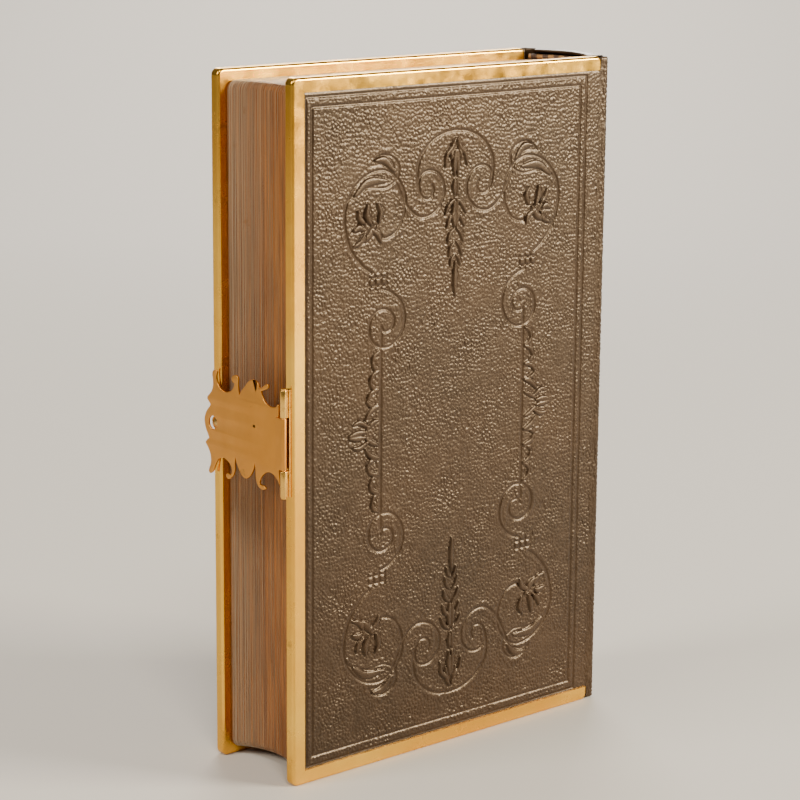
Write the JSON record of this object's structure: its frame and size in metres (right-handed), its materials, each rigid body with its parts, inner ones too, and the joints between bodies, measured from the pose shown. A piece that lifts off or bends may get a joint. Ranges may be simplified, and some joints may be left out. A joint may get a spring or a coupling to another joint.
{
  "type": "prayer book",
  "caption": "Closed leather prayer book with brass rims round its boards, a hollow gilt fore edge, blind-tooled covers and a scalloped hinged clasp over a stud.",
  "frame": {"origin": "on the surface the book stands on, under the middle of its bounding box", "axes": "+Z from tail to head, +Y from back cover to front cover, -X towards the fore edge and clasp, +X towards the spine"},
  "size_m": [0.086, 0.0246, 0.132],
  "materials": {
    "leaves": "cream printed-book paper with a dull aged gilt edge",
    "sewing_cord": "hemp cord",
    "spine_lining": "open-weave glued cloth",
    "endband_silk": "silk-wound roll, brown and gold",
    "spine_leather": "dark brown grained morocco, softly polished",
    "spine_card": "grey-brown card",
    "millboard": "dense brown board",
    "cover_leather": "dark brown grained morocco with blind tooling",
    "pastedown_paper": "plain glazed end paper",
    "rim_brass": "bright yellow brass, browned in the hollows",
    "hinge_brass": "bright worn brass",
    "clasp_brass": "satin ochre brass with brown tarnish",
    "stud_brass": "dull brass",
    "end_paper": "plain glazed end paper",
    "flyleaf_paper": "cream laid paper"
  },
  "bodies": {
    "text_block": {"gathering_01": "leaves", "gathering_02": "leaves", "gathering_03": "leaves", "gathering_04": "leaves", "gathering_05": "leaves", "gathering_06": "leaves", "gathering_07": "leaves", "gathering_08": "leaves", "gathering_09": "leaves", "gathering_10": "leaves", "gathering_11": "leaves", "gathering_12": "leaves", "gathering_13": "leaves", "gathering_14": "leaves", "gathering_15": "leaves", "gathering_16": "leaves", "gathering_17": "leaves", "gathering_18": "leaves", "sewing_cords": "sewing_cord", "spine_lining": "spine_lining", "tail_endband": "endband_silk", "head_endband": "endband_silk", "spine_leather": "spine_leather", "spine_inlay": "spine_card"},
    "front_cover": {"front_board": "millboard", "front_leather": "cover_leather", "front_pastedown": "pastedown_paper", "front_rim_tail": "rim_brass", "front_rim_fore_edge": "rim_brass", "front_rim_head": "rim_brass", "clasp_stud": "stud_brass"},
    "back_cover": {"back_board": "millboard", "back_leather": "cover_leather", "back_pastedown": "pastedown_paper", "back_rim_tail": "rim_brass", "back_rim_fore_edge": "rim_brass", "back_rim_head": "rim_brass", "clasp_hinge_base": "hinge_brass", "clasp_hinge_pin": "hinge_brass"},
    "clasp": {"clasp_plate": "clasp_brass"},
    "front_end_paper_leaf": {"front_end_paper": "end_paper"},
    "front_flyleaf_leaf": {"front_flyleaf": "flyleaf_paper"},
    "back_end_paper_leaf": {"back_end_paper": "end_paper"},
    "back_flyleaf_leaf": {"back_flyleaf": "flyleaf_paper"}
  },
  "joints": [
    {"name": "front_cover_hinge", "type": "hinge", "parent": "text_block", "child": "front_cover", "pos_m": [0.03717, 0.0112, 0.066], "axis": [0, 0, -1], "range_deg": [0, 165]},
    {"name": "back_cover_hinge", "type": "hinge", "parent": "text_block", "child": "back_cover", "pos_m": [0.03717, -0.0118, 0.066], "axis": [0, 0, 1], "range_deg": [0, 165]},
    {"name": "clasp_hinge", "type": "hinge", "parent": "back_cover", "child": "clasp", "pos_m": [-0.04233, -0.0111, 0.066], "axis": [0, 0, 1], "range_deg": [0, 175]},
    {"name": "front_end_paper_turn", "type": "hinge", "parent": "text_block", "child": "front_end_paper_leaf", "pos_m": [0.03587, 0.00915, 0.066], "axis": [0, 0, -1], "range_deg": [0, 105.6]},
    {"name": "front_flyleaf_turn", "type": "hinge", "parent": "text_block", "child": "front_flyleaf_leaf", "pos_m": [0.03587, 0.0089, 0.066], "axis": [0, 0, -1], "range_deg": [0, 52.8]},
    {"name": "back_end_paper_turn", "type": "hinge", "parent": "text_block", "child": "back_end_paper_leaf", "pos_m": [0.03587, -0.00975, 0.066], "axis": [0, 0, 1], "range_deg": [0, 105.6]},
    {"name": "back_flyleaf_turn", "type": "hinge", "parent": "text_block", "child": "back_flyleaf_leaf", "pos_m": [0.03587, -0.0095, 0.066], "axis": [0, 0, 1], "range_deg": [0, 52.8]}
  ],
  "couplings": [
    {"joint": "front_end_paper_turn", "follows": "front_cover_hinge", "ratio": 0.64},
    {"joint": "front_flyleaf_turn", "follows": "front_cover_hinge", "ratio": 0.32},
    {"joint": "back_end_paper_turn", "follows": "back_cover_hinge", "ratio": 0.64},
    {"joint": "back_flyleaf_turn", "follows": "back_cover_hinge", "ratio": 0.32}
  ]
}
